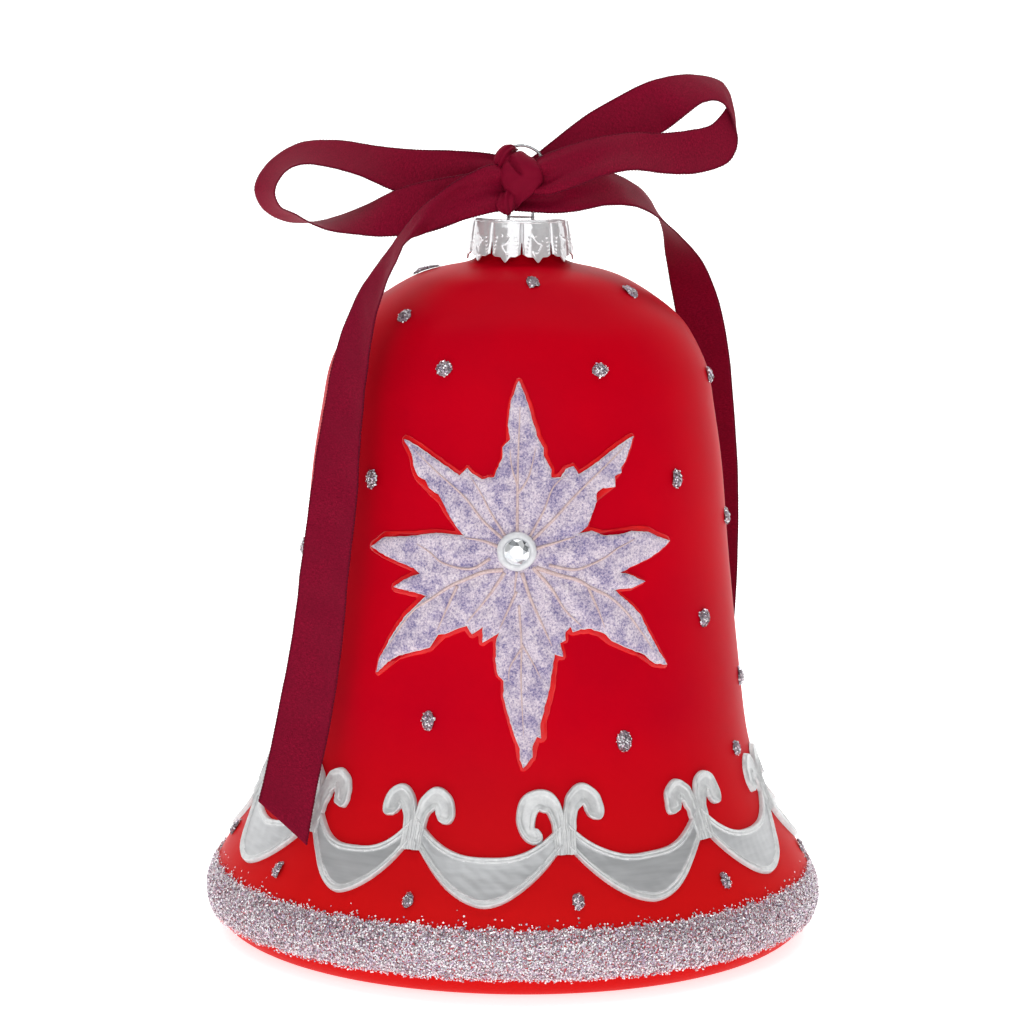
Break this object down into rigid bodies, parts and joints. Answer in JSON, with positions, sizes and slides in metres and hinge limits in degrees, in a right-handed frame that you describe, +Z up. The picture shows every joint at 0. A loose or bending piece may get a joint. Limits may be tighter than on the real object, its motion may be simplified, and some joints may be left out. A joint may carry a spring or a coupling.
{
  "type": "christmas bell ornament",
  "caption": "Hanging glass bell ornament, closed at the base, with a crown cap, wire hanger, satin bow, leaf star with a stone, raised garland and a glitter band round the rim.",
  "frame": {"origin": "middle of the flat base, on the bell's axis", "axes": "+Z up along the bell's axis, -Y towards the front star, +X to the right of the front view"},
  "size_m": [0.1222, 0.1222, 0.1683],
  "materials": {
    "red_glass": "matte translucent red lacquer on blown glass",
    "glitter": "coarse silver and pink glitter over red glue",
    "leaf_fabric": "speckled lavender velvet with raised pale veins and a pale edge",
    "pale_rim": "translucent pale glue rim",
    "crystal": "faceted and foil backed",
    "silver_relief": "satin silver raised paint",
    "cap_metal": "bright stamped sheet with an embossed vine",
    "wire_metal": "bright drawn wire",
    "satin": "burgundy satin with a thin darker picot edge"
  },
  "bodies": {
    "bell": {"glass_bell": "red_glass", "glitter_band": "glitter", "glitter_drop_01": "glitter", "glitter_drop_02": "glitter", "glitter_drop_03": "glitter", "glitter_drop_04": "glitter", "glitter_drop_05": "glitter", "glitter_drop_06": "glitter", "glitter_drop_07": "glitter", "glitter_drop_08": "glitter", "glitter_drop_09": "glitter", "glitter_drop_10": "glitter", "glitter_drop_11": "glitter", "glitter_drop_12": "glitter", "glitter_drop_13": "glitter", "glitter_drop_14": "glitter", "glitter_drop_15": "glitter", "glitter_drop_16": "glitter", "glitter_drop_17": "glitter", "glitter_drop_18": "glitter", "glitter_drop_19": "glitter", "glitter_drop_20": "glitter", "glitter_drop_21": "glitter", "glitter_drop_22": "glitter", "leaf_star_back": "leaf_fabric", "leaf_star_front": "leaf_fabric", "rhinestone_back": "crystal", "rhinestone_front": "crystal", "scroll_01": "silver_relief", "scroll_02": "silver_relief", "scroll_03": "silver_relief", "scroll_04": "silver_relief", "scroll_05": "silver_relief", "scroll_06": "silver_relief", "scroll_07": "silver_relief", "scroll_08": "silver_relief", "scroll_09": "silver_relief", "scroll_10": "silver_relief", "scroll_11": "silver_relief", "stone_setting_back": "pale_rim", "stone_setting_front": "pale_rim", "swag_01": "silver_relief", "swag_02": "silver_relief", "swag_03": "silver_relief", "swag_04": "silver_relief", "swag_05": "silver_relief", "swag_06": "silver_relief", "swag_07": "silver_relief", "swag_08": "silver_relief", "swag_09": "silver_relief", "swag_10": "silver_relief", "swag_11": "silver_relief"},
    "cap": {"crown_cap": "cap_metal"},
    "hanger": {"hanger_wire": "wire_metal", "ribbon_knot": "satin", "ribbon_loop_left": "satin", "ribbon_loop_right": "satin", "ribbon_tail_left": "satin", "ribbon_tail_right": "satin"}
  },
  "joints": [
    {"name": "cap_lift", "type": "slide", "parent": "bell", "child": "cap", "axis": [0, 0, 1], "range_m": [0, 0.045]},
    {"name": "hanger_turn", "type": "hinge", "parent": "cap", "child": "hanger", "pos_m": [0, 0, 0.14], "axis": [0, 0, 1], "continuous": true}
  ]
}
